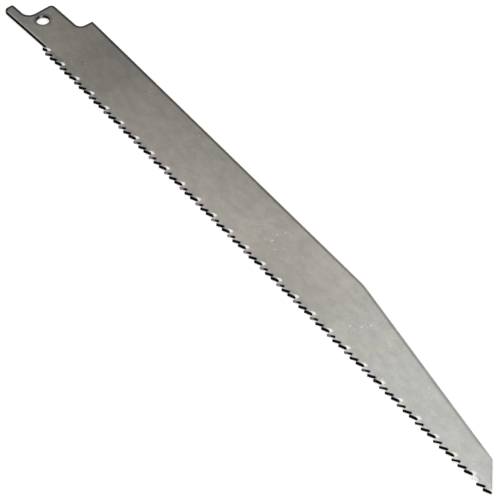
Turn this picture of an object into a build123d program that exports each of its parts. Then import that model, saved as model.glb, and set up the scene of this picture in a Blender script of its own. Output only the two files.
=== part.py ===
from build123d import *
from math import cos, floor, radians, sin, tan
import os

# Reciprocating saw blade, cut from one strip of steel and lying flat.
# Millimetres. The origin is the centre of the tang's pin hole, half way through the steel.
# +X runs along the tooth line from the tang to the point, +Y towards the back, +Z up.

# Steel
thickness = 1.07
overall_length = 228.6
blade_width = 19.05

# Tang, laid out in its own axes: "along" runs to the teeth, "across" runs to the back
tang_width = 12.7
tang_cant = 3.1
pin_hole_radius = 2.0
hole_to_nose_end = 11.3
hole_to_shoulder = 3.75
hole_to_step = 9.45

# Nose, the finger that reaches past the shoulder
nose_width = 3.4
nose_toe_radius = 1.5
nose_top_radius = 0.65
notch_radius = 2.9
shoulder_radius = 1.25

# Step up from the tang to the back
step_rise = 4.78
step_fillet_radius = 2.1
step_corner_radius = 0.25

# Taper and slanted end
taper_length = 76.0
taper_angle = 8.9
taper_bend_radius = 18.0
end_angle = 40.6
end_corner_radius = 0.6

# Teeth, which point to the tang and cut on the pull stroke
tooth_pitch = 2.54
step_to_first_tooth = 0.1
first_tooth_cut = 0.58
flank_angle = 32.0
rake_angle = 4.0
gullet_radius = 0.45
tooth_set = 0.32
set_order = (1, -1, 0)

# Where a set tooth's bend line crosses the gullet's arc, turned from the tooth line
bend_angle = 30.0

# Slopes and places that follow from the sizes
flank_slope = tan(radians(flank_angle))
rake_slope = tan(radians(rake_angle))
taper_slope = tan(radians(taper_angle))
end_slope = tan(radians(end_angle))
cant_slope = tan(radians(tang_cant))

first_tip_x = hole_to_step + step_to_first_tooth
first_front_x = first_tip_x + first_tooth_cut


def tang_point(along, across):
    """A place given in the tang's axes, which are turned by the cant about the pin hole."""
    return Vector(along, across).rotate(Axis.Z, tang_cant)


def tang_edge_y(x, across):
    """Height of a line that runs along the tang, at a place along the blade."""
    return x * cant_slope + across / cos(radians(tang_cant))


nose_top_across = nose_width - tang_width / 2
nose_top_centre = tang_point(nose_top_radius - hole_to_nose_end, nose_top_across - nose_top_radius)
point_x = nose_top_centre.X - nose_top_radius + overall_length
bend_x = point_x - taper_length

# The back stands a step above the tang's edge, and the tooth line lies one blade width below the back
step_foot_y = tang_edge_y(hole_to_step, tang_width / 2)
back_y = step_foot_y + step_rise
tooth_line_y = back_y - blade_width

# The gullet's arc touches one tooth's flank and the next one's rake face, measured from the first's tip
flank_reach = gullet_radius / cos(radians(flank_angle))
rake_reach = gullet_radius / cos(radians(rake_angle))
gullet_x = (tooth_pitch - rake_reach - rake_slope * flank_reach) / (1 - rake_slope * flank_slope)
gullet_y = gullet_x * flank_slope - flank_reach


def gullet_place(angle):
    """A place on the gullet's arc, measured from the tip of the tooth before it."""
    turn = radians(angle)
    return Vector(gullet_x + gullet_radius * cos(turn), gullet_y + gullet_radius * sin(turn))


# A set tooth bends at this height above its tip, under the top of the gullet
bend_height = gullet_place(bend_angle).Y
flank_root = Vector(bend_height / flank_slope, bend_height)
pitch_step = Vector(tooth_pitch, 0)

# The teeth go on as long as the last one's whole root stands before the point
tooth_count = floor((point_x - flank_root.X - first_tip_x) / tooth_pitch) + 1
last_tip_x = first_tip_x + (tooth_count - 1) * tooth_pitch


def blade_point():
    """The blade's point, where the last tooth's flank runs out."""
    return Vector(point_x, tooth_line_y + (point_x - last_tip_x) * flank_slope)


def end_corner():
    """Where the slanted end meets the taper."""
    point = blade_point()
    x = (point.Y - back_y + point.X * end_slope - bend_x * taper_slope) / (end_slope - taper_slope)
    return Vector(x, back_y - (x - bend_x) * taper_slope)


def tooth_tip(index):
    """Tip of one tooth, as it is before the set."""
    return Vector(first_tip_x + index * tooth_pitch, tooth_line_y)


def gullet_edges(index):
    """Edges above the bend line from one tooth's root, over its gullet, to the next tooth's root."""
    tip = tooth_tip(index)
    arc_start = tip + gullet_place(90 + flank_angle)
    arc_end = tip + gullet_place(bend_angle)
    return [
        Line(tip + flank_root, arc_start),
        ThreePointArc(arc_start, tip + gullet_place(90), arc_end),
        Line(arc_end, tip + flank_root + pitch_step),
    ]


def body_outline():
    """The blade's flat outline above the bend line, with the pin hole cut out."""
    half = tang_width / 2
    corners = [
        (blade_point(), 0),
        (end_corner(), end_corner_radius),
        (Vector(bend_x, back_y), taper_bend_radius),
        (Vector(hole_to_step, back_y), step_corner_radius),
        (Vector(hole_to_step, step_foot_y), step_fillet_radius),
        (tang_point(-hole_to_shoulder, half), shoulder_radius),
        (tang_point(-hole_to_shoulder, nose_top_across), notch_radius),
        (tang_point(-hole_to_nose_end, nose_top_across), nose_top_radius),
        (tang_point(-hole_to_nose_end, -half), nose_toe_radius),
        (Vector(first_front_x, tang_edge_y(first_front_x, -half)), 0),
    ]
    places = [place for place, _ in corners]
    edges = [FilletPolyline(*places, radius=[radius for _, radius in corners[1:-1]])]
    front_root = Vector(first_front_x, tooth_line_y + bend_height)
    edges.append(Polyline(places[-1], front_root, tooth_tip(0) + flank_root))
    for index in range(tooth_count - 1):
        edges.extend(gullet_edges(index))
    edges.append(Line(tooth_tip(tooth_count - 1) + flank_root, blade_point()))
    return make_face(edges) - Circle(pin_hole_radius)


def tooth(index):
    """One tooth below the bend line, leaning up, down or straight by its place in the set order."""
    lean = set_order[index % len(set_order)] * tooth_set

    def place(local):
        """A place on the tooth's underside, given from its tip before the set."""
        flat = tooth_tip(index) + local
        return Vector(flat.X, flat.Y, lean * (1 - local.Y / bend_height) - thickness / 2)

    root = place(flank_root)
    if index == 0:
        tip = place(Vector(first_tooth_cut, first_tooth_cut * flank_slope))
        front = [Line(place(Vector(first_tooth_cut, bend_height)), tip)]
    else:
        tip = place(Vector(0, 0))
        arc_start = place(gullet_place(bend_angle) - pitch_step)
        arc_middle = place(gullet_place((bend_angle - rake_angle) / 2) - pitch_step)
        arc_end = place(gullet_place(-rake_angle) - pitch_step)
        front = [ThreePointArc(arc_start, arc_middle, arc_end), Line(arc_end, tip)]
    side = make_face([*front, Line(tip, root), Line(root, front[0] @ 0)])
    return extrude(side, amount=thickness, dir=(0, 0, 1))


def blade():
    """The whole blade: flat steel above the bend line and the row of set teeth below it."""
    body = Pos(0, 0, -thickness / 2) * extrude(body_outline(), amount=thickness)
    teeth = [tooth(index) for index in range(tooth_count)]
    return body.fuse(*teeth)


if __name__ == "__main__":
    os.makedirs("parts", exist_ok=True)
    solid = blade()
    print("teeth", tooth_count, "volume mm3", round(solid.volume, 1), "solids", len(solid.solids()))
    box = solid.bounding_box()
    print("box", box.min, box.max)
    export_step(solid, "parts/blade.step")
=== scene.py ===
"""Reciprocating saw blade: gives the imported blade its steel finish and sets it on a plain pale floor."""

from math import atan, cos, floor, radians, sin

import bmesh
import bpy
from bpy.props import FloatProperty, FloatVectorProperty, IntProperty, PointerProperty
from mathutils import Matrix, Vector
from mathutils.geometry import intersect_line_line


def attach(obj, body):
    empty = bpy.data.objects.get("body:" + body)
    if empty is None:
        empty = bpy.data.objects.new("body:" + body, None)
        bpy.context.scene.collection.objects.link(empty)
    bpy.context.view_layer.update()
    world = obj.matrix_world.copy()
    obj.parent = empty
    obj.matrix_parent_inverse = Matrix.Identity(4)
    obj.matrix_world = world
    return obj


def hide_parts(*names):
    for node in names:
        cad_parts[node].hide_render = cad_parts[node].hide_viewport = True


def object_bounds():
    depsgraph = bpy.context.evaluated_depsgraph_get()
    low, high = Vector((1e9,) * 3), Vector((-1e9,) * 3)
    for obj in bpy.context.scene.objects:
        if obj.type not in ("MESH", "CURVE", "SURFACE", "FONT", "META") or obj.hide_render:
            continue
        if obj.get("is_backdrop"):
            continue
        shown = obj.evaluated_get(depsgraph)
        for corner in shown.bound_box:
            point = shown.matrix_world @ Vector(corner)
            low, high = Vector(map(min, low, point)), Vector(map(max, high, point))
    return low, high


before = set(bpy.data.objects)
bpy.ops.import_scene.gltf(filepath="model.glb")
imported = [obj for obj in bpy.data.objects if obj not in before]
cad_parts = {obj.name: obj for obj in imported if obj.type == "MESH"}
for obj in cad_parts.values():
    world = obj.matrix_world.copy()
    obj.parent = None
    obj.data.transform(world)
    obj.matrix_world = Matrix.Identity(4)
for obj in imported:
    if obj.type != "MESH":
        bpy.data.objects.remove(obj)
CAD_LOW, CAD_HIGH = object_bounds()

bl_info = {
    "name": "Reciprocating saw blade",
    "version": (1, 0, 0),
    "blender": (4, 5, 0),
    "location": "3D View > Sidebar > Saw Blade",
    "description": "Finishes a reciprocating saw blade's steel and lights it on a pale floor",
    "category": "Object",
}

MERGE_DISTANCE = 1e-7
TOLERANCE = 2e-6

# Faces whose normal is at least this upright lie in the flats
FLAT_TILT = 0.999

# Which way the teeth lean in turn from the tang: 1 is up, -1 is down, 0 is straight
SET_ORDER = (1, -1, 0)

# Long faces are parted at every fifth tooth
TEETH_PER_PART = 5

# A set tooth's bend is cut into this many rows of faces
BEND_ROWS = 4

# Rings inside the outline: each one's share of the rim's width, and what it leaves of the rim's weight
RIM_STEPS = ((0.33, 0.85), (0.38, 0.4), (0.29, 0.0), (0.1, 0.0))

# Share of the rings' width that is left round the pin hole
HOLE_SHARE = 0.3

# A ring's edge that keeps less than this share of its outer edge's length is drawn into a corner
SHORT_SHARE = 0.3

# The rim's weight at the outline: full, round the pin hole, along the slanted end, painted highlight under
# the tang
FULL_RIM, HOLE_RIM, END_RIM, HIGHLIGHT_RIM = 1.0, 0.5, 0.3, -1.0

# Weights over which the rim's painted shade sets in, its lip is spared it, and a painted highlight and dark
# band lie
DARK_WEIGHT = (0.05, 0.5)
LIP_WEIGHT = (0.88, 1.0)
HIGHLIGHT_WEIGHT = (-0.55, -0.15)
DARK_BAND_WEIGHT = (-0.93, -0.85)

# Where along the blade the lip begins to be spared the painted shade
LIP_ALONG = (0.04, 0.11)

# Finishes, in the order of the blade's materials
SATIN, SHEARED, TURNED_DOWN, HIGHLIT, HOLE_WALL, GULLET_FRONT = range(6)

# Where along the flat its colour turns from cool to warm and back, and where the nose's oiled patch ends
COOL_AT_TANG = (-0.006, 0.006)
COOL_AT_POINT = (0.12, 0.175)
OILED_AT_NOSE = (-0.009, -0.005)

# Lengths of the flat with painted shade: where each sets in, where it ends, and what it adds to the shade
SHADED_LENGTHS = (((0.012, 0.022), (0.034, 0.046), -0.12), ((0.104, 0.12), (0.142, 0.152), -0.07))

# Lengths where painted shade darkens the flat towards one side: where each sets in, where it ends, and its
# slope across
SHADED_SIDES = (((-0.002, 0.01), (0.105, 0.117), -11.0), ((0.114, 0.128), (0.138, 0.152), 8.0))
SLOPE_MIDDLE = 0.002

# Painted shade lies along the teeth's flank edges, as the sizes below set it
# The dark edge of a tooth's flank: how it fades from the flank, how it ends towards the gullet, and how
# much further it reaches on a tooth that leans out
FLANK_EDGE = (0.00008, 0.00022)
FLANK_EDGE_END = (0.0017, 0.002)
LEANING_REACH = 0.00013

# Where along the blade the teeth's tops grow lighter with wear and a painted sheen, how light they are
# before and after, and the share of it on teeth that don't lean out
WEAR_AND_SHEEN_ALONG = (0.03, 0.2)
WEAR_AND_SHEEN_SHARE = (0.12, 0.5)
WEAR_AND_SHEEN_UPRIGHT = 0.35

# Way from the pin hole's middle to the painted highlight on its wall
PIN_SIDE = (-0.94, 0.34)


# Settings


class BladeSizes(bpy.types.PropertyGroup):
    """Sizes of the toothed edge and of the steel's edges."""

    tooth_pitch: FloatProperty(
        name="Tooth pitch", description="Distance from one tooth's tip to the next", default=0.00254,
        unit="LENGTH", precision=5)
    first_tip: FloatProperty(
        name="First tip", description="Place along the blade of the first tooth's tip, before it was cut",
        default=0.00955, unit="LENGTH", precision=5)
    tooth_count: IntProperty(name="Teeth", description="Number of teeth along the edge", default=82, min=1)
    bend_height: FloatProperty(
        name="Bend height", description="Height of the set's bend line above the tooth line",
        default=0.00103506, unit="LENGTH", precision=6)
    tooth_set: FloatProperty(
        name="Tooth set", description="How far a set tooth's tip stands out of the flat", default=0.00032,
        unit="LENGTH", precision=5)
    bend_length: FloatProperty(
        name="Bend length", description="Length of the smooth bend at a set tooth's root", default=0.0005,
        unit="LENGTH", precision=5)
    gullet_height: FloatProperty(
        name="Gullet height", description="Height of the gullets' tops above the tooth line",
        default=0.00126006, unit="LENGTH", precision=6)
    gullet_place: FloatProperty(
        name="Gullet place", description="Distance from a tooth's tip to the middle of its gullet",
        default=0.00214555, unit="LENGTH", precision=6)
    thickness: FloatProperty(
        name="Thickness", description="Thickness of the steel", default=0.00107, unit="LENGTH", precision=5)
    flank_turn: FloatProperty(
        name="Flank turn", description="Share of a set tooth's lean that its flank turns along with",
        default=0.5, min=0, max=1, subtype="FACTOR")
    rim_drop: FloatProperty(
        name="Rim drop", description="How far the rolled rim sinks at the outline", default=0.00004,
        unit="LENGTH", precision=5)
    hole_radius: FloatProperty(
        name="Pin hole radius", description="Radius of the tang's pin hole", default=0.002, unit="LENGTH",
        precision=5)
    # The rolled rim's width also sets how far its painted shade reaches into the flat
    rim_width: FloatProperty(
        name="Rolled rim width", description="Width of the rolled rim along the outline, which carries a painted shade",
        default=0.00108, unit="LENGTH", precision=5)
    # The set's punch mark is painted white as the glint of its facet
    mark_place: FloatVectorProperty(
        name="Set mark place", description="Middle of a set tooth's punch mark, from the tooth's tip",
        default=(0.00205, 0.00146), size=2, subtype="TRANSLATION", unit="LENGTH", precision=5)
    mark_size: FloatVectorProperty(
        name="Set mark size", description="Half length and half width of the punch mark",
        default=(0.00106, 0.00062), size=2, subtype="TRANSLATION", unit="LENGTH", precision=5)
    mark_turn: FloatProperty(
        name="Set mark turn", description="Slope of the punch mark", default=radians(25), subtype="ANGLE")
    flank_angle: FloatProperty(
        name="Flank angle", description="Slope of the teeth's flanks", default=radians(32), subtype="ANGLE")
    gullet_radius: FloatProperty(
        name="Gullet radius", description="Radius of the gullets", default=0.00045, unit="LENGTH",
        precision=5)
    end_length: FloatProperty(
        name="End length", description="Length along the blade of its slanted end", default=0.0084,
        unit="LENGTH", precision=5)
    edge_round: FloatProperty(
        name="Edge rounding", description="Width of the rounding between the flat and the sheared edge",
        default=0.00006, unit="LENGTH", precision=5)


class BladeFinish(bpy.types.PropertyGroup):
    """Colours of the steel."""

    steel: FloatVectorProperty(
        name="Steel", description="Colour of the satin flat near the point", default=(0.556, 0.559, 0.545),
        subtype="COLOR", min=0, max=1)
    warm_steel: FloatVectorProperty(
        name="Warm steel", description="Colour of the satin flat from the tang to the middle",
        default=(0.585, 0.551, 0.508), subtype="COLOR", min=0, max=1)
    oiled_steel: FloatVectorProperty(
        name="Oiled steel", description="Colour of the flat's faintly olive patches",
        default=(0.552, 0.56, 0.498), subtype="COLOR", min=0, max=1)
    # How deep the rim's painted shade is, from the tang to the point
    rim_at_tang: FloatProperty(
        name="Rim at tang", description="How much of the steel's lightness its rim keeps at the tang",
        default=0.25, min=0, max=1, subtype="FACTOR")
    rim_at_point: FloatProperty(
        name="Rim at point", description="How much of the steel's lightness its rim keeps at the point",
        default=0.8, min=0, max=1, subtype="FACTOR")
    # The sheared steel is painted near black for the dark reflection its sides show
    sheared: FloatVectorProperty(
        name="Sheared edge", description="Colour of the dark sheared edges and tooth flanks",
        default=(0.006, 0.006, 0.0055), subtype="COLOR", min=0, max=1)
    # Painted grey sheen on the flanks of the down-set teeth, which turn to catch more light
    turned_down: FloatVectorProperty(
        name="Down-set flank", description="Colour of the painted sheen on the down-set teeth's flanks",
        default=(0.32, 0.315, 0.3), subtype="COLOR", min=0, max=1)
    # The gullets' sides that face the tang are painted lighter, for the light that falls on that side
    gullet: FloatVectorProperty(
        name="Gullet front", description="Colour of the gullets' sides that face the tang",
        default=(0.2, 0.2, 0.19), subtype="COLOR", min=0, max=1)
    hole_wall: FloatVectorProperty(
        name="Pin hole wall", description="Colour of the pin hole's wall", default=(0.025, 0.025, 0.023),
        subtype="COLOR", min=0, max=1)
    # Painted highlight on one side of the pin hole's wall
    pin_hole_highlight: FloatVectorProperty(
        name="Pin hole highlight", description="Colour of the painted highlight on the pin hole's wall",
        default=(0.36, 0.355, 0.34), subtype="COLOR", min=0, max=1)
    # Bare steel's colour, also painted on the punch marks' glints, the teeth's sheen and the highlit tooth
    # as highlights
    bright: FloatVectorProperty(
        name="Bright steel", description="Colour of bare, freshly worked steel", default=(0.96, 0.96, 0.94),
        subtype="COLOR", min=0, max=1)
    # How strongly the punch marks are painted white as glints
    punch_glint_strength: FloatProperty(
        name="Mark whiteness", description="How matt and white the marks of the setting punch are",
        default=1.0, min=0, max=1, subtype="FACTOR")
    # One tooth's flank and top are painted near white as a highlight
    highlit_tooth: IntProperty(
        name="Highlit tooth", description="Number of the tooth whose flank and top carry a painted highlight, counted from the tang",
        default=80, min=0)


class StageSettings(bpy.types.PropertyGroup):
    """Floor, lamps and camera."""

    floor_size: FloatProperty(
        name="Floor size", description="Side of the square floor", default=6.0, unit="LENGTH")
    floor_colour: FloatVectorProperty(
        name="Floor colour", description="Colour of the floor", default=(0.9, 0.9, 0.9),
        subtype="COLOR", min=0, max=1)
    lens: FloatProperty(
        name="Lens", description="Focal length, in millimetres, of the 36 mm wide camera", default=205.36)
    camera_place: FloatVectorProperty(
        name="Camera place", description="Where the camera stands", default=(0.536616, -0.322721, 0.587112),
        subtype="TRANSLATION", unit="LENGTH", precision=5)
    camera_tilt: FloatProperty(
        name="Camera tilt", description="Turn of the camera up from straight down",
        default=radians(42.1113), subtype="ANGLE")
    camera_heading: FloatProperty(
        name="Camera heading", description="Turn of the camera about the vertical",
        default=radians(53.3067), subtype="ANGLE")
    softbox_place: FloatVectorProperty(
        name="Softbox place", description="Middle of the softbox that the point end mirrors",
        default=(0.08, 0.3, 0.6), subtype="TRANSLATION", unit="LENGTH")
    softbox_size: FloatVectorProperty(
        name="Softbox size", description="Sides of the softbox", default=(0.8, 0.7), size=2,
        subtype="TRANSLATION", unit="LENGTH")
    softbox_power: FloatProperty(
        name="Softbox power", description="Power of the softbox", default=1.6, unit="POWER")
    front_place: FloatVectorProperty(
        name="Front light place", description="Middle of the light on the camera's side",
        default=(0.5, -0.7, 1.1), subtype="TRANSLATION", unit="LENGTH")
    front_target: FloatVectorProperty(
        name="Front light target", description="Place on the blade that the front light faces",
        default=(0.1, 0, 0), subtype="TRANSLATION", unit="LENGTH")
    front_size: FloatProperty(
        name="Front light size", description="Side of the light on the camera's side", default=2.6,
        unit="LENGTH")
    front_power: FloatProperty(
        name="Front light power", description="Power of the light on the camera's side", default=23.0,
        unit="POWER")
    room_colour: FloatVectorProperty(
        name="Room light", description="Colour and strength of the room's even light",
        default=(0.19, 0.18, 0.174), subtype="COLOR", min=0, max=1)
    floor_glow: FloatProperty(
        name="Floor glow", description="Light that the floor adds for the camera and in reflections",
        default=0.4, min=0)


# Shader helpers


def new_group(name, inputs, outputs):
    """A shader node group with named sockets, and its input and output nodes."""
    group = bpy.data.node_groups.new(name, "ShaderNodeTree")
    for label, kind, value in inputs:
        socket = group.interface.new_socket(name=label, in_out="INPUT", socket_type=kind)
        if value is not None:
            socket.default_value = value
    for label, kind in outputs:
        group.interface.new_socket(name=label, in_out="OUTPUT", socket_type=kind)
    return group, group.nodes.new("NodeGroupInput"), group.nodes.new("NodeGroupOutput")


def feed(tree, socket, value):
    """Links a node's input to another socket, or sets it to a value."""
    if isinstance(value, bpy.types.NodeSocket):
        tree.links.new(value, socket)
    else:
        socket.default_value = value


def math_node(tree, operation, *values, clamp=False):
    """A Math node fed by sockets or numbers; gives its output socket."""
    node = tree.nodes.new("ShaderNodeMath")
    node.operation = operation
    node.use_clamp = clamp
    for socket, value in zip(node.inputs, values):
        feed(tree, socket, value)
    return node.outputs[0]


def range_node(tree, value, from_low, from_high, to_low, to_high, smooth=False):
    """A Map Range node; gives its output socket."""
    node = tree.nodes.new("ShaderNodeMapRange")
    node.interpolation_type = "SMOOTHSTEP" if smooth else "LINEAR"
    for socket, entry in zip(node.inputs, (value, from_low, from_high, to_low, to_high)):
        feed(tree, socket, entry)
    return node.outputs[0]


def mix_colour(tree, factor, first, second, blend="MIX"):
    """A colour Mix node; gives its output socket."""
    node = tree.nodes.new("ShaderNodeMix")
    node.data_type = "RGBA"
    node.blend_type = blend
    for label, value in (("Factor_Float", factor), ("A_Color", first), ("B_Color", second)):
        feed(tree, next(socket for socket in node.inputs if socket.identifier == label), value)
    return next(socket for socket in node.outputs if socket.identifier == "Result_Color")


def noise_node(tree, vector, scale, detail=2.0, roughness=0.5):
    """A Noise node; gives its value socket."""
    node = tree.nodes.new("ShaderNodeTexNoise")
    node.inputs["Scale"].default_value = scale
    node.inputs["Detail"].default_value = detail
    node.inputs["Roughness"].default_value = roughness
    tree.links.new(vector, node.inputs["Vector"])
    return node.outputs["Fac"]


def stretched(tree, vector, scale):
    """Coordinates scaled by a Mapping node, to stretch a pattern along one way."""
    node = tree.nodes.new("ShaderNodeMapping")
    node.inputs["Scale"].default_value = scale
    tree.links.new(vector, node.inputs["Vector"])
    return node.outputs["Vector"]


def steel_grain():
    """Group: cloudy patches and fine rolling lines of strip steel, as a shade and a height."""
    group, start, end = new_group(
        "Steel grain",
        [("Vector", "NodeSocketVector", None), ("Cloud", "NodeSocketFloat", 0.5),
         ("Line", "NodeSocketFloat", 0.3)],
        [("Shade", "NodeSocketFloat"), ("Height", "NodeSocketFloat")])
    vector = start.outputs["Vector"]
    cloud = noise_node(group, stretched(group, vector, (220, 420, 420)), 1.0, 3.0, 0.6)
    smudge = noise_node(group, vector, 700, 3.0, 0.65)
    speck = noise_node(group, vector, 1700, 2.0, 0.6)
    line = noise_node(group, stretched(group, vector, (260, 9000, 9000)), 1.0, 2.0, 0.6)
    fine = math_node(group, "MULTIPLY_ADD", line, 0.4, math_node(group, "MULTIPLY", speck, 0.6))
    shade = 1.0
    for pattern, share, strength in ((cloud, 1.0, "Cloud"), (smudge, 0.45, "Cloud"), (fine, 1.0, "Line")):
        swing = math_node(group, "MULTIPLY", math_node(group, "SUBTRACT", pattern, 0.5), share)
        shade = math_node(group, "MULTIPLY_ADD", swing, start.outputs[strength], shade)
    group.links.new(shade, end.inputs["Shade"])
    group.links.new(fine, end.inputs["Height"])
    return group


def shear_streaks():
    """Group: streaks that shearing and cutting leave through the steel's thickness."""
    group, start, end = new_group(
        "Shear streaks", [("Vector", "NodeSocketVector", None)], [("Streak", "NodeSocketFloat")])
    vector = stretched(group, start.outputs["Vector"], (6000, 6000, 500))
    group.links.new(noise_node(group, vector, 1.0, 2.0, 0.6), end.inputs["Streak"])
    return group


def place_group(tree, group, values):
    """A group node in a material, with its named inputs set or linked."""
    node = tree.nodes.new("ShaderNodeGroup")
    node.node_tree = group
    for label, value in values.items():
        feed(tree, node.inputs[label], value)
    return node


def new_material(name):
    """A material with nodes; gives it, its tree, its shader and its Object coordinates."""
    material = bpy.data.materials.new(name)
    material.use_nodes = True
    tree = material.node_tree
    shader = tree.nodes["Principled BSDF"]
    place = tree.nodes.new("ShaderNodeTexCoord").outputs["Object"]
    return material, tree, shader, place


def shaded(tree, colour, shade):
    """A colour multiplied by a varying shade."""
    combine = tree.nodes.new("ShaderNodeCombineColor")
    for channel in range(3):
        tree.links.new(shade, combine.inputs[channel])
    return mix_colour(tree, 1.0, colour, combine.outputs[0], "MULTIPLY")


def add_bump(tree, shader, height, distance, strength):
    """A Bump node on a shader's normal."""
    bump = tree.nodes.new("ShaderNodeBump")
    bump.inputs["Distance"].default_value = distance
    bump.inputs["Strength"].default_value = strength
    tree.links.new(height, bump.inputs["Height"])
    tree.links.new(bump.outputs["Normal"], shader.inputs["Normal"])


def axes_of(tree, vector):
    """A vector's parts, as the sockets X, Y and Z."""
    node = tree.nodes.new("ShaderNodeSeparateXYZ")
    tree.links.new(vector, node.inputs[0])
    return node.outputs


def flat_vector(tree, x, y):
    """A vector in the plane of the flat."""
    node = tree.nodes.new("ShaderNodeCombineXYZ")
    tree.links.new(x, node.inputs["X"])
    tree.links.new(y, node.inputs["Y"])
    return node.outputs[0]


def vector_length(tree, vector):
    """A vector's length."""
    node = tree.nodes.new("ShaderNodeVectorMath")
    node.operation = "LENGTH"
    tree.links.new(vector, node.inputs[0])
    return node.outputs["Value"]


def band(tree, value, rise, fall):
    """Mask that rises over one stretch of a value and falls over another."""
    return math_node(
        tree, "MULTIPLY", range_node(tree, value, *rise, 0.0, 1.0, smooth=True),
        range_node(tree, value, *fall, 1.0, 0.0, smooth=True))


def tooth_place():
    """Group: how far along the teeth a place lies, from the first tip and from the start of its repeat."""
    group, start, end = new_group(
        "Tooth place",
        [("Vector", "NodeSocketVector", None), ("First Tip", "NodeSocketFloat", 0.0),
         ("Length", "NodeSocketFloat", 0.00254)],
        [("Distance", "NodeSocketFloat"), ("Along", "NodeSocketFloat")])
    parts = axes_of(group, start.outputs["Vector"])
    along = math_node(group, "SUBTRACT", parts["X"], start.outputs["First Tip"])
    wrapped = math_node(group, "WRAP", along, start.outputs["Length"], 0.0)
    group.links.new(wrapped, end.inputs["Distance"])
    group.links.new(along, end.inputs["Along"])
    return group


def tooth_light_and_wear(tree, place, sizes, groups):
    """Masks on the teeth: painted glints on the set teeth's punch marks, tops lightened by wear and a
    painted sheen, painted shade along the flank edges and round the gullets.
    """
    parts = axes_of(tree, place)

    # The underside's marks belong to the teeth set down, one pitch further on
    under = math_node(tree, "LESS_THAN", parts["Z"], 0.0)
    first = math_node(tree, "MULTIPLY_ADD", under, sizes.tooth_pitch, sizes.first_tip)
    length = len(SET_ORDER) * sizes.tooth_pitch
    repeat = place_group(tree, groups["teeth"], {"Vector": place, "First Tip": first, "Length": length})
    height = math_node(tree, "SUBTRACT", parts["Y"], CAD_LOW.y)
    from_tip = math_node(tree, "WRAP", repeat.outputs["Distance"], sizes.tooth_pitch, 0.0)
    leaning = math_node(tree, "LESS_THAN", repeat.outputs["Distance"], sizes.tooth_pitch)

    # Punch mark, painted white as the glint of its facet
    oval = tree.nodes.new("ShaderNodeMapping")
    oval.vector_type = "TEXTURE"
    oval.inputs["Location"].default_value = (*sizes.mark_place, 0)
    oval.inputs["Rotation"].default_value = (0, 0, sizes.mark_turn)
    oval.inputs["Scale"].default_value = (*sizes.mark_size, 1)
    tree.links.new(flat_vector(tree, repeat.outputs["Distance"], height), oval.inputs["Vector"])
    rough_edge = noise_node(tree, place, 2500, 2.0, 0.5)
    reach = math_node(tree, "MULTIPLY_ADD", rough_edge, 0.4, vector_length(tree, oval.outputs[0]))
    mark = range_node(tree, reach, 0.8, 1.4, 1.0, 0.0, smooth=True)

    # Top of the tooth, lightened by wear and a painted sheen
    root = sizes.bend_height + sizes.gullet_radius
    wear_and_sheen = math_node(
        tree, "MULTIPLY", range_node(tree, leaning, 0.0, 1.0, WEAR_AND_SHEEN_UPRIGHT, 1.0),
        range_node(tree, height, sizes.bend_height, root, 1.0, 0.0, smooth=True))
    wear_and_sheen = math_node(tree, "MULTIPLY", wear_and_sheen, range_node(tree, parts["X"], *WEAR_AND_SHEEN_ALONG, *WEAR_AND_SHEEN_SHARE))

    # Painted shade along the flank's edge
    over_flank = math_node(
        tree, "SUBTRACT", math_node(tree, "MULTIPLY", height, cos(sizes.flank_angle)),
        math_node(tree, "MULTIPLY", from_tip, sin(sizes.flank_angle)))
    over_flank = math_node(tree, "MULTIPLY_ADD", leaning, -LEANING_REACH, over_flank)
    edge = math_node(
        tree, "MULTIPLY", range_node(tree, over_flank, *FLANK_EDGE, 1.0, 0.0, smooth=True),
        range_node(tree, from_tip, *FLANK_EDGE_END, 1.0, 0.0))

    # Painted shade round the gullet
    from_gullet = flat_vector(
        tree, math_node(tree, "SUBTRACT", from_tip, sizes.gullet_place),
        math_node(tree, "SUBTRACT", height, sizes.gullet_height - sizes.gullet_radius))
    dull = range_node(
        tree, vector_length(tree, from_gullet), sizes.gullet_radius, 2.1 * sizes.gullet_radius, 1.0, 0.0,
        smooth=True)
    toothed = math_node(tree, "GREATER_THAN", repeat.outputs["Along"], 0.0)
    return tuple(math_node(tree, "MULTIPLY", mask, toothed) for mask in (mark, wear_and_sheen, edge, dull))


def painted_rim_shade(tree, along, finish):
    """Painted shade of the rim: dark inside the outline, with a painted highlight and a painted dark band
    along the tang's lower edge.
    """
    rim = tree.nodes.new("ShaderNodeAttribute")
    rim.attribute_name = "rim"
    weight = rim.outputs["Fac"]
    # The painted shade is deeper at the tang than at the point
    kept = range_node(tree, along, CAD_LOW.x, CAD_HIGH.x, finish.rim_at_tang, finish.rim_at_point)
    dark = range_node(tree, weight, *DARK_WEIGHT, 0.0, 1.0, smooth=True)
    # The lip is spared the painted shade past the tang, which leaves a lighter line at the very edge
    lip = math_node(
        tree, "MULTIPLY", range_node(tree, weight, *LIP_WEIGHT, 0.0, 1.0),
        range_node(tree, along, *LIP_ALONG, 0.0, 1.0))
    dark = math_node(tree, "MULTIPLY", dark, math_node(tree, "SUBTRACT", 1.0, lip))
    # Painted highlight inside the tang's lower edge, and a painted dark band at that edge
    light = range_node(tree, weight, *HIGHLIGHT_WEIGHT, 1.0, 0.0, smooth=True)
    dark_band = range_node(tree, weight, *DARK_BAND_WEIGHT, 1.0, 0.0, smooth=True)
    shade = math_node(tree, "MULTIPLY_ADD", dark, math_node(tree, "SUBTRACT", kept, 1.0), 1.0)
    shade = math_node(tree, "MULTIPLY_ADD", light, 0.45, shade)
    return math_node(tree, "MULTIPLY_ADD", dark_band, -1.4, shade)


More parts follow.
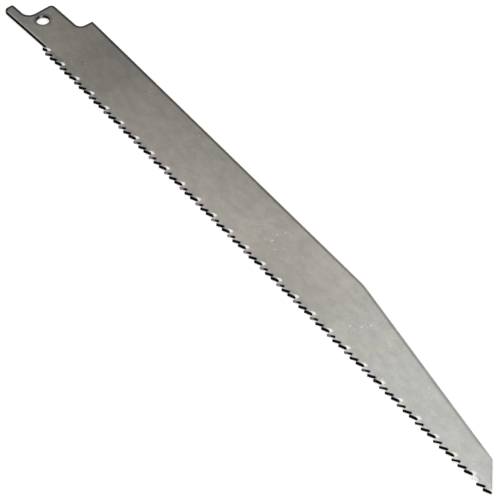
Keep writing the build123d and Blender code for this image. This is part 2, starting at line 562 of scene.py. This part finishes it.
def painted_flat_shade(tree, parts):
    """Painted shade on the flat: two darker lengths, and a darkening towards one side before and past the
    middle.
    """
    lengths = 1.0
    for rise, fall, share in SHADED_LENGTHS:
        lengths = math_node(tree, "MULTIPLY_ADD", band(tree, parts["X"], rise, fall), share, lengths)
    slope = 0.0
    for rise, fall, share in SHADED_SIDES:
        slope = math_node(tree, "MULTIPLY_ADD", band(tree, parts["X"], rise, fall), share, slope)
    across = math_node(tree, "SUBTRACT", parts["Y"], SLOPE_MIDDLE)
    return math_node(tree, "MULTIPLY", lengths, math_node(tree, "MULTIPLY_ADD", across, slope, 1.0))


def hole_shade(tree, parts, sizes):
    """Shade of the dull ring that the pin's clamp leaves round its hole."""
    from_hole = vector_length(tree, flat_vector(tree, parts["X"], parts["Y"]))
    reach = math_node(tree, "DIVIDE", from_hole, sizes.hole_radius)
    return math_node(tree, "MULTIPLY_ADD", band(tree, reach, (1.05, 1.2), (1.25, 1.5)), -0.4, 1.0)


def nicks(tree, place):
    """Mask of small bright nicks, gathered in a few places on the flat."""
    cells = tree.nodes.new("ShaderNodeTexVoronoi")
    cells.inputs["Scale"].default_value = 900
    tree.links.new(place, cells.inputs["Vector"])
    chosen = tree.nodes.new("ShaderNodeSeparateColor")
    tree.links.new(cells.outputs["Color"], chosen.inputs[0])
    spots = math_node(
        tree, "MULTIPLY", range_node(tree, cells.outputs["Distance"], 0.15, 0.4, 1.0, 0.0),
        math_node(tree, "GREATER_THAN", chosen.outputs[0], 0.75))
    gathered = range_node(tree, noise_node(tree, place, 75, 1.0), 0.54, 0.66, 0.0, 1.0)
    return math_node(tree, "MULTIPLY", spots, gathered)


def flat_steel(finish, sizes, groups):
    """Satin flat of the blade, with the painted shade of its rolled rim and painted glints on the marks of
    the set.
    """
    material, tree, shader, place = new_material("Satin steel")
    parts = axes_of(tree, place)
    pattern = place_group(tree, groups["grain"], {"Vector": place, "Cloud": 0.46, "Line": 0.42})
    cool = math_node(
        tree, "MAXIMUM", range_node(tree, parts["X"], *COOL_AT_POINT, 0.0, 1.0),
        range_node(tree, parts["X"], *COOL_AT_TANG, 1.0, 0.0))
    base = mix_colour(tree, cool, (*finish.warm_steel, 1.0), (*finish.steel, 1.0))
    patches = range_node(tree, noise_node(tree, place, 140, 2.0, 0.6), 0.42, 0.62, 0.0, 0.6, smooth=True)
    patches = math_node(
        tree, "MAXIMUM", patches, range_node(tree, parts["X"], *OILED_AT_NOSE, 0.8, 0.0, smooth=True))
    base = mix_colour(tree, patches, base, (*finish.oiled_steel, 1.0))
    # Painted shade of the rim
    shade = math_node(tree, "MULTIPLY", pattern.outputs["Shade"], painted_rim_shade(tree, parts["X"], finish))
    shade = math_node(tree, "MULTIPLY", shade, hole_shade(tree, parts, sizes))
    # Painted shade on two lengths of the flat and towards one side
    shade = math_node(tree, "MULTIPLY", shade, painted_flat_shade(tree, parts))
    shade = math_node(tree, "MULTIPLY_ADD", nicks(tree, place), 0.45, shade)
    # Painted glints on the punch marks, and teeth's tops lightened by wear and a painted sheen, turn the
    # steel near white and matt
    mark, wear_and_sheen, edge, dull = tooth_light_and_wear(tree, place, sizes, groups)
    glint_and_wear = math_node(tree, "MAXIMUM", math_node(tree, "MULTIPLY", mark, finish.punch_glint_strength), wear_and_sheen)
    glint_and_wear = math_node(tree, "MULTIPLY", glint_and_wear, math_node(tree, "SUBTRACT", 1.0, edge))
    # Painted shade along the flank edges and round the gullets
    shade = math_node(tree, "MULTIPLY", shade, math_node(tree, "MULTIPLY_ADD", edge, -0.8, 1.0))
    shade = math_node(tree, "MULTIPLY", shade, math_node(tree, "MULTIPLY_ADD", dull, -0.4, 1.0))
    colour = mix_colour(tree, glint_and_wear, shaded(tree, base, shade), (*finish.bright, 1.0))
    tree.links.new(colour, shader.inputs["Base Color"])
    tree.links.new(math_node(tree, "SUBTRACT", 1.0, glint_and_wear), shader.inputs["Metallic"])
    satin = range_node(tree, pattern.outputs["Height"], 0.3, 0.7, 0.31, 0.37)
    tree.links.new(math_node(tree, "MULTIPLY_ADD", mark, -0.1, satin), shader.inputs["Roughness"])
    add_bump(tree, shader, pattern.outputs["Height"], 0.00001, 0.25)
    return material


def rough_steel(name, groups, roughness):
    """A dull, streaked material; gives it, its tree, shader, coordinates, streaks and shade."""
    material, tree, shader, place = new_material(name)
    streaks = place_group(tree, groups["streaks"], {"Vector": place}).outputs["Streak"]
    pattern = place_group(tree, groups["grain"], {"Vector": place, "Cloud": 0.5, "Line": 0.3})
    shader.inputs["Specular IOR Level"].default_value = 0.0
    tree.links.new(range_node(tree, streaks, 0.3, 0.7, *roughness), shader.inputs["Roughness"])
    add_bump(tree, shader, streaks, 0.00002, 0.3)
    return material, tree, shader, place, streaks, pattern.outputs["Shade"]


def sheared_steel(name, colour, groups, roughness=(0.53, 0.67)):
    """Sheared edge, tooth flank or gullet in one streaky colour."""
    material, tree, shader, _, streaks, shade = rough_steel(name, groups, roughness)
    shade = math_node(tree, "MULTIPLY", shade, range_node(tree, streaks, 0.3, 0.7, 0.8, 1.2))
    tree.links.new(shaded(tree, (*colour, 1.0), shade), shader.inputs["Base Color"])
    return material


def flank_with_painted_sheen(finish, sizes, groups):
    """Flank of a down-set tooth: a painted grey sheen near its tip half way along the blade, black at the
    ends.
    """
    material, tree, shader, place, _, shade = rough_steel("Down-set flank", groups, (0.5, 0.65))
    pitch, length = sizes.tooth_pitch, CAD_HIGH.x
    where = place_group(
        tree, groups["teeth"], {"Vector": place, "First Tip": sizes.first_tip, "Length": pitch})
    towards_tip = range_node(
        tree, where.outputs["Distance"], 0.3 * pitch, 0.48 * pitch, 1.0, 0.03, smooth=True)
    along = where.outputs["Along"]
    rising = range_node(tree, along, 0.08 * length, 0.3 * length, 0.25, 1.0, smooth=True)
    falling = range_node(tree, along, 0.5 * length, 0.85 * length, 1.0, 0.0, smooth=True)
    # Painted sheen on the flank
    rubbed = math_node(tree, "MULTIPLY", towards_tip, math_node(tree, "MULTIPLY", rising, falling))
    rubbed = math_node(tree, "MULTIPLY", rubbed, shade)
    colour = mix_colour(tree, rubbed, (*finish.sheared, 1.0), (*finish.turned_down, 1.0))
    tree.links.new(colour, shader.inputs["Base Color"])
    return material


def pin_hole_wall(finish, sizes, groups):
    """Wall of the pin hole, with a painted highlight on one side."""
    material, tree, shader, place, _, shade = rough_steel("Pin hole wall", groups, (0.5, 0.65))
    towards = tree.nodes.new("ShaderNodeVectorMath")
    towards.operation = "DOT_PRODUCT"
    towards.inputs[1].default_value = (*(part / sizes.hole_radius for part in PIN_SIDE), 0)
    tree.links.new(place, towards.inputs[0])
    # Painted highlight on the wall
    rubbed = range_node(tree, towards.outputs["Value"], 0.945, 0.99, 0.0, 1.0, smooth=True)
    colour = mix_colour(tree, rubbed, (*finish.hole_wall, 1.0), (*finish.pin_hole_highlight, 1.0))
    tree.links.new(shaded(tree, colour, shade), shader.inputs["Base Color"])
    return material


# Blade


def joined_copy():
    """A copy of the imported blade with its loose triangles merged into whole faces."""
    bm = bmesh.new()
    bm.from_mesh(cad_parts["blade"].data)
    bmesh.ops.remove_doubles(bm, verts=bm.verts, dist=MERGE_DISTANCE)
    bmesh.ops.dissolve_limit(
        bm, angle_limit=radians(0.3), use_dissolve_boundaries=False, verts=bm.verts, edges=bm.edges)
    return bm


def bend_line(sizes):
    """Place across the blade of the line below which the solid's teeth lean."""
    return CAD_LOW.y + sizes.bend_height


def tooth_number(x, sizes):
    """Number of the tooth whose finger covers a place along the blade, from 0 at the tang."""
    return floor((x - sizes.first_tip - sizes.gullet_place) / sizes.tooth_pitch) + 1


def lean_of(number):
    """Which way a tooth leans."""
    return SET_ORDER[number % len(SET_ORDER)]


def on_teeth(vert, sizes):
    """Whether a vertex stands on the toothed stretch of the outline."""
    return vert.co.y < CAD_LOW.y + sizes.gullet_height + TOLERANCE and vert.co.x > sizes.first_tip


def faces_across(bm, line, sizes):
    """Faces of the teeth that a line along the blade crosses."""
    found = []
    for face in bm.faces:
        heights = [vert.co.y for vert in face.verts]
        if min(heights) < line - TOLERANCE and max(heights) > line + TOLERANCE:
            if max(vert.co.x for vert in face.verts) > sizes.first_tip:
                found.append(face)
    return found


def cut_faces(bm, faces, place, direction):
    """Cuts some faces through a place, square to a direction."""
    edges = dict.fromkeys(edge for face in faces for edge in face.edges)
    verts = dict.fromkeys(vert for face in faces for vert in face.verts)
    bmesh.ops.bisect_plane(
        bm, geom=[*verts, *edges, *faces], dist=TOLERANCE, plane_co=place, plane_no=direction)


def cut_along(bm, line, sizes):
    """Cuts the teeth along one line, so that they can bend there."""
    cut_faces(bm, faces_across(bm, line, sizes), (0, line, 0), (0, 1, 0))


def cut_across(bm, place, sizes):
    """Cuts the long faces straight across the blade at one place."""
    faces = []
    for face in bm.faces:
        reach = [vert.co.x for vert in face.verts]
        if min(reach) < place - sizes.tooth_pitch / 2 and max(reach) > place + sizes.tooth_pitch / 2:
            faces.append(face)
    cut_faces(bm, faces, (place, 0, 0), (1, 0, 0))


def all_flat(faces):
    """Whether all of some faces lie in the blade's flats."""
    return all(abs(face.normal.z) > FLAT_TILT for face in faces)


def rim_weight(vert, level, sizes):
    """Weight of the rim at a place on the outline, for its roll and its painted shade: less than none where
    it carries a painted highlight instead.
    """
    x, y, _ = vert.co
    if sizes.first_tip < x < CAD_HIGH.x - TOLERANCE and y < level + TOLERANCE:
        return 0.0
    if vert.co.xy.length < 1.2 * sizes.hole_radius:
        return HOLE_RIM
    if x > CAD_HIGH.x - sizes.end_length:
        return END_RIM
    under_tang = CAD_LOW.x + 1.5 * sizes.rim_width < x < sizes.first_tip + sizes.tooth_pitch
    if under_tang and y < CAD_LOW.y + 2 * sizes.gullet_height:
        return HIGHLIGHT_RIM
    return FULL_RIM


def part_teeth(bm, sizes):
    """Cuts the toothed stretch along a line over the gullets, level with the point; gives its place."""
    level = min(vert.co.y for vert in bm.verts if vert.co.x > CAD_HIGH.x - TOLERANCE)
    cut_along(bm, level, sizes)
    over_tang = []
    for edge in bm.edges:
        on_line = all(abs(vert.co.y - level) < TOLERANCE for vert in edge.verts)
        before_teeth = all(vert.co.x < sizes.first_tip for vert in edge.verts)
        if on_line and before_teeth and all_flat(edge.link_faces):
            over_tang.append(edge)
    bmesh.ops.dissolve_edges(bm, edges=over_tang, use_verts=True)
    return level


def part_length(bm, sizes):
    """Cuts the long faces over every few gullets, short of the point, so that none is long and thin."""
    for number in range(sizes.tooth_count - 2 - TEETH_PER_PART, 0, -TEETH_PER_PART):
        cut_across(bm, sizes.first_tip + number * sizes.tooth_pitch + sizes.gullet_place, sizes)


def part_hole(bm, sizes):
    """Cuts the tang straight across its pin hole, and drops the slanting edges that ran to the hole."""
    cut_across(bm, 0, sizes)
    bm.normal_update()
    slanting = []
    for edge in bm.edges:
        at_hole = min(vert.co.xy.length for vert in edge.verts) < sizes.hole_radius + TOLERANCE
        off_cut = max(abs(vert.co.x) for vert in edge.verts) > TOLERANCE
        if at_hole and off_cut and all_flat(edge.link_faces):
            slanting.append(edge)
    bmesh.ops.dissolve_edges(bm, edges=slanting, use_verts=True)


def body_flats(bm, level):
    """Faces of both flats on the back's side of a line."""
    flats = []
    for face in bm.faces:
        if all_flat([face]) and max(vert.co.y for vert in face.verts) > level + TOLERANCE:
            flats.append(face)
    return flats


def border_loops(flats):
    """Loops just outside some faces' border, one for each border edge."""
    members = set(flats)
    loops = []
    for face in flats:
        for edge in face.edges:
            loops += [loop for loop in edge.link_loops if loop.face not in members]
    return loops


def turned_back(loop):
    """Whether a corner is so tight that a ring face's inner edge is all but used up or turned."""
    if len(loop.face.verts) != 4:
        return False
    inner = loop.link_loop_next.vert.co - loop.vert.co
    opposite = loop.link_loop_next.link_loop_next
    outer = opposite.vert.co - opposite.link_loop_next.vert.co
    return outer.dot(inner) < SHORT_SHARE * outer.length_squared


def square_corners(bm, loops):
    """Draws a new ring together to a sharp corner wherever it has turned back on itself."""
    turned = [loop.edge for loop in loops if turned_back(loop)]
    straight = [loop.edge for loop in loops if loop.edge not in turned]
    chains = []
    for edge in turned:
        joined = list(edge.verts)
        apart = []
        for chain in chains:
            if any(vert in chain for vert in edge.verts):
                joined += [vert for vert in chain if vert not in joined]
            else:
                apart.append(chain)
        chains = [*apart, joined]
    corners = []
    for chain in chains:
        sides = [edge for edge in straight if any(vert in chain for vert in edge.verts)]
        first, second = ([vert.co.copy() for vert in edge.verts] for edge in sides)
        corners.append(intersect_line_line(*first, *second)[0])
    for chain, corner in zip(chains, corners):
        bmesh.ops.pointmerge(bm, verts=chain, merge_co=corner)


def narrow_round_hole(loops, before, depth, sizes):
    """Keeps a ring closer to the pin hole's edge than it lies to the outline."""
    outer_radius = sizes.hole_radius + HOLE_SHARE * before + TOLERANCE
    inner_radius = sizes.hole_radius + HOLE_SHARE * depth
    for loop in loops:
        if any(vert.co.xy.length < outer_radius for vert in loop.face.verts):
            for vert in loop.edge.verts:
                vert.co.xy *= inner_radius / vert.co.xy.length


def ring_flats(bm, level, sizes):
    """Cuts narrow rings inside the outline of both flats, which fade the rim's painted shade and roll its
    edge.
    """
    rim = bm.verts.layers.float.new("rim")
    flat = bm.faces.layers.int.new("flat")
    for face in body_flats(bm, level):
        face[flat] = 1
        for vert in face.verts:
            vert[rim] = rim_weight(vert, level, sizes)
    depth = 0
    for width, fade in RIM_STEPS:
        flats = [face for face in bm.faces if face[flat] == 1]
        around = bmesh.ops.inset_region(
            bm, faces=flats, thickness=width * sizes.rim_width, depth=0, use_boundary=True,
            use_even_offset=True)["faces"]
        for face in around:
            face[flat] = 0
        before, depth = depth, depth + width * sizes.rim_width
        loops = border_loops(flats)
        for vert in dict.fromkeys(loop.vert for loop in loops):
            vert[rim] *= fade
        narrow_round_hole(loops, before, depth, sizes)
        square_corners(bm, loops)
    bm.faces.layers.int.remove(flat)
    bmesh.ops.remove_doubles(bm, verts=bm.verts, dist=MERGE_DISTANCE)


def roll_rim(bm, sizes):
    """Sinks the outline a little, as shearing rolls the edge of sheet steel over."""
    rim = bm.verts.layers.float["rim"]
    for vert in bm.verts:
        if vert.co.z > 0:
            vert.co.z -= sizes.rim_drop * vert[rim] ** 2


def bend_teeth(bm, sizes):
    """Leans the set teeth over in a smooth bend, with their flanks turned along."""
    start = CAD_LOW.y + sizes.gullet_height
    curve_end = start - sizes.bend_length
    for step in range(BEND_ROWS + 1):
        cut_along(bm, start - step * sizes.bend_length / BEND_ROWS, sizes)
    full_slope = sizes.tooth_set / (sizes.bend_length / 2 + curve_end - CAD_LOW.y)
    half = sizes.thickness / 2
    for vert in bm.verts:
        x, y, z = vert.co
        lean = lean_of(tooth_number(x, sizes))
        if y > start - TOLERANCE or x < sizes.first_tip or lean == 0:
            continue
        shear = lean * sizes.tooth_set * max(0.0, bend_line(sizes) - y) / sizes.bend_height
        side = 1 if z > shear else -1
        depth = start - y
        if y > curve_end:
            slope = full_slope * depth / sizes.bend_length
            rise = slope * depth / 2
        else:
            slope = full_slope
            rise = full_slope * (depth - sizes.bend_length / 2)
        turn = atan(slope)
        vert.co.z = lean * rise + side * half * cos(turn)
        if side == lean:
            vert.co.y = y + sizes.flank_turn * sizes.thickness * sin(turn)


def round_edges(bm, sizes):
    """Rounds the long edges between the flats and the sheared sides, leaving the teeth sharp."""
    edges = []
    for edge in bm.edges:
        if any(on_teeth(vert, sizes) for vert in edge.verts) or len(edge.link_faces) != 2:
            continue
        tilts = sorted(abs(face.normal.z) for face in edge.link_faces)
        if tilts[0] < 0.1 and tilts[1] > 0.9:
            edges.append(edge)
    bmesh.ops.bevel(
        bm, geom=edges, offset=sizes.edge_round, offset_type="OFFSET", segments=2, profile=0.5,
        affect="EDGES", material=-1, clamp_overlap=True)


def assign_finishes(bm, sizes, finish):
    """Gives each face its finish: flats, sheared edges, and flanks by the way their tooth leans."""
    for face in bm.faces:
        face.normal_update()
        face.material_index = SATIN if abs(face.normal.z) > 0.6 else SHEARED
        middle = face.calc_center_median()
        if middle.xy.length < 1.02 * sizes.hole_radius:
            face.material_index = HOLE_WALL
        if middle.y > CAD_LOW.y + sizes.gullet_height or middle.x < sizes.first_tip:
            continue
        # One tooth takes the painted highlight, faces towards the tang are painted lighter, and down-set
        # flanks take a painted sheen
        if tooth_number(middle.x - sizes.gullet_radius, sizes) + 1 == finish.highlit_tooth:
            face.material_index = HIGHLIT
        elif face.material_index == SHEARED and face.normal.x < 0:
            face.material_index = GULLET_FRONT
        elif face.material_index == SHEARED and lean_of(tooth_number(middle.x, sizes)) < 0:
            face.material_index = TURNED_DOWN


class SAWBLADE_OT_steel(bpy.types.Operator):
    """Build the blade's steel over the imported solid"""

    bl_idname = "sawblade.steel"
    bl_label = "Blade steel"

    def execute(self, context):
        sizes = context.scene.saw_blade_sizes
        finish = context.scene.saw_blade_finish
        bm = joined_copy()
        level = part_teeth(bm, sizes)
        part_length(bm, sizes)
        part_hole(bm, sizes)
        ring_flats(bm, level, sizes)
        roll_rim(bm, sizes)
        bend_teeth(bm, sizes)
        round_edges(bm, sizes)
        assign_finishes(bm, sizes, finish)
        mesh = bpy.data.meshes.new("blade_steel")
        bm.to_mesh(mesh)
        bm.free()
        groups = {"grain": steel_grain(), "streaks": shear_streaks(), "teeth": tooth_place()}
        materials = {
            SATIN: flat_steel(finish, sizes, groups),
            SHEARED: sheared_steel("Sheared steel", finish.sheared, groups),
            TURNED_DOWN: flank_with_painted_sheen(finish, sizes, groups),
            # The highlit tooth's painted highlight
            HIGHLIT: sheared_steel("Highlit flank", finish.bright, groups, roughness=(0.33, 0.47)),
            HOLE_WALL: pin_hole_wall(finish, sizes, groups),
            GULLET_FRONT: sheared_steel("Gullet front", finish.gullet, groups),
        }
        for index in sorted(materials):
            mesh.materials.append(materials[index])
        mesh.shade_smooth()
        mesh.set_sharp_from_angle(angle=radians(25))
        blade = bpy.data.objects.new("blade_steel", mesh)
        context.scene.collection.objects.link(blade)
        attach(blade, "root")
        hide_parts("blade")
        return {"FINISHED"}


# Stage


def floor_material(stage):
    """Plain pale floor that reads as white to the camera and still takes the blade's shadow."""
    material, tree, shader, place = new_material("Pale floor")
    speckle = noise_node(tree, place, 40, 3.0, 0.5)
    tree.links.new(
        shaded(tree, (*stage.floor_colour, 1.0), range_node(tree, speckle, 0.0, 1.0, 0.99, 1.01)),
        shader.inputs["Base Color"])
    shader.inputs["Roughness"].default_value = 0.9
    shader.inputs["Specular IOR Level"].default_value = 0.0
    path = tree.nodes.new("ShaderNodeLightPath")
    seen = math_node(tree, "ADD", path.outputs["Is Camera Ray"], path.outputs["Is Glossy Ray"])
    seen = math_node(tree, "ADD", seen, path.outputs["Is Transmission Ray"], clamp=True)
    glow = tree.nodes.new("ShaderNodeEmission")
    tree.links.new(math_node(tree, "MULTIPLY", seen, stage.floor_glow), glow.inputs["Strength"])
    both = tree.nodes.new("ShaderNodeAddShader")
    tree.links.new(shader.outputs[0], both.inputs[0])
    tree.links.new(glow.outputs[0], both.inputs[1])
    tree.links.new(both.outputs[0], tree.nodes["Material Output"].inputs["Surface"])
    return material


def add_floor(context, stage):
    """The floor that the blade lies on."""
    bm = bmesh.new()
    bmesh.ops.create_grid(bm, x_segments=1, y_segments=1, size=stage.floor_size / 2)
    bmesh.ops.translate(bm, verts=bm.verts, vec=(0, 0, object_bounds()[0].z))
    mesh = bpy.data.meshes.new("floor")
    bm.to_mesh(mesh)
    bm.free()
    mesh.materials.append(floor_material(stage))
    floor_object = bpy.data.objects.new("floor", mesh)
    context.scene.collection.objects.link(floor_object)
    floor_object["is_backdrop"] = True


def add_lamp(context, name, place, size, power):
    """A rectangular lamp that faces straight down; gives its object."""
    lamp = bpy.data.lights.new(name, "AREA")
    lamp.shape = "RECTANGLE"
    lamp.size, lamp.size_y = size
    lamp.energy = power
    holder = bpy.data.objects.new(name, lamp)
    holder.location = place
    context.scene.collection.objects.link(holder)
    return holder


def add_world(context, stage):
    """Even room light."""
    world = bpy.data.worlds.new("Room")
    world.use_nodes = True
    background = world.node_tree.nodes["Background"]
    background.inputs["Color"].default_value = (*stage.room_colour, 1.0)
    background.inputs["Strength"].default_value = 1.0
    context.scene.world = world


def add_camera(context, stage):
    """Camera at the place that the photograph was taken from."""
    data = bpy.data.cameras.new("camera")
    data.sensor_fit = "HORIZONTAL"
    data.sensor_width = 36.0
    data.lens = stage.lens
    data.clip_start = 0.01
    camera = bpy.data.objects.new("camera", data)
    camera.location = stage.camera_place
    camera.rotation_euler = (stage.camera_tilt, 0, stage.camera_heading)
    context.scene.collection.objects.link(camera)
    context.scene.camera = camera


class SAWBLADE_OT_stage(bpy.types.Operator):
    """Lay the floor and set up the lamps, the room light and the camera"""

    bl_idname = "sawblade.stage"
    bl_label = "Stage"

    def execute(self, context):
        stage = context.scene.saw_blade_stage
        add_floor(context, stage)
        add_lamp(context, "softbox", stage.softbox_place, stage.softbox_size, stage.softbox_power)
        front_size = (stage.front_size, stage.front_size)
        front = add_lamp(context, "front_light", stage.front_place, front_size, stage.front_power)
        towards = Vector(stage.front_target) - Vector(stage.front_place)
        front.rotation_euler = towards.to_track_quat("-Z", "Y").to_euler()
        add_world(context, stage)
        add_camera(context, stage)
        context.scene.view_settings.view_transform = "Standard"
        return {"FINISHED"}


class SAWBLADE_PT_panel(bpy.types.Panel):
    """Sidebar panel with the blade's settings and steps"""

    bl_label = "Saw blade"
    bl_idname = "SAWBLADE_PT_panel"
    bl_space_type = "VIEW_3D"
    bl_region_type = "UI"
    bl_category = "Saw Blade"

    def draw(self, context):
        for name in SETTINGS:
            group = getattr(context.scene, name)
            box = self.layout.box()
            for key in group.__annotations__:
                box.prop(group, key)
        for operator in OPERATORS:
            self.layout.operator(operator.bl_idname)


OPERATORS = (SAWBLADE_OT_steel, SAWBLADE_OT_stage)
SETTINGS = {
    "saw_blade_sizes": BladeSizes,
    "saw_blade_finish": BladeFinish,
    "saw_blade_stage": StageSettings,
}


def register():
    """Registers the settings, the operators and the panel."""
    for group in SETTINGS.values():
        bpy.utils.register_class(group)
    for name, group in SETTINGS.items():
        setattr(bpy.types.Scene, name, PointerProperty(type=group))
    for cls in (*OPERATORS, SAWBLADE_PT_panel):
        bpy.utils.register_class(cls)


def unregister():
    """Removes what register added."""
    for cls in reversed((*OPERATORS, SAWBLADE_PT_panel)):
        bpy.utils.unregister_class(cls)
    for name in SETTINGS:
        delattr(bpy.types.Scene, name)
    for group in reversed(tuple(SETTINGS.values())):
        bpy.utils.unregister_class(group)


def main():
    """Builds the blade and its stage."""
    register()
    bpy.ops.sawblade.steel()
    bpy.ops.sawblade.stage()


if __name__ == "__main__":
    main()
